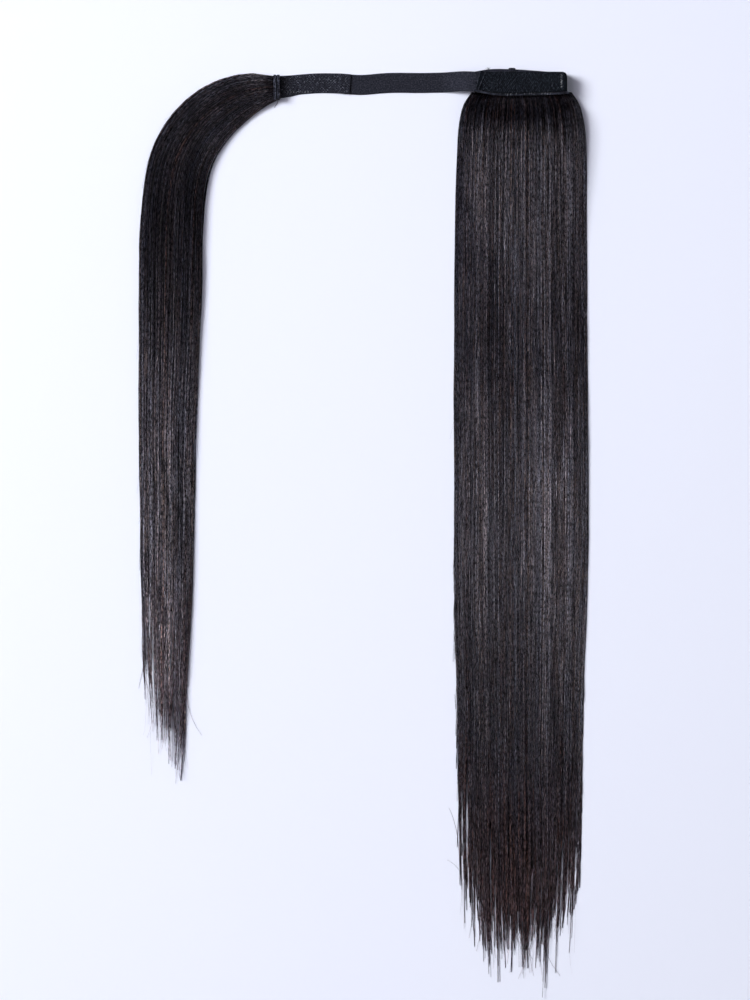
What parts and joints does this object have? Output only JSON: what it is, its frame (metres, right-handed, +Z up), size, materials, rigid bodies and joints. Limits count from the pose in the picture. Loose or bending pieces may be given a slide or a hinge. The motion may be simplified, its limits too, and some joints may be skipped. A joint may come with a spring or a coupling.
{
  "type": "ponytail hairpiece with wrap strap",
  "caption": "Long straight ponytail hairpiece laid flat: a sewn head with loop tape and piping, a ribbon strap with hook tape, and a narrower strand that wraps over the strap.",
  "frame": {"origin": "middle of the whole piece in plan, on the surface that it lies on", "axes": "+X runs from the wrap strand to the fall, +Y from the tips of the fall to the strap, +Z up from the surface"},
  "size_m": [0.3586, 0.7304, 0.0234],
  "materials": {
    "fall_hair": "fine straight hair fibres with a soft sheen",
    "wrap_hair": "fine straight hair fibres with a soft sheen",
    "ribbon": "fine woven ribbon",
    "hook_tape": "rough field of small hooks",
    "loop_tape": "soft ribbed loop pile",
    "piping": "twisted binding",
    "thread": "whipped thread"
  },
  "bodies": {
    "root": {"hair_fall": "fall_hair", "wrap_strand": "wrap_hair", "ribbon_strap": "ribbon", "hook_tape": "hook_tape", "loop_tape": "loop_tape", "end_tab": "ribbon", "edge_piping": "piping", "root_binding": "thread"}
  },
  "joints": []
}
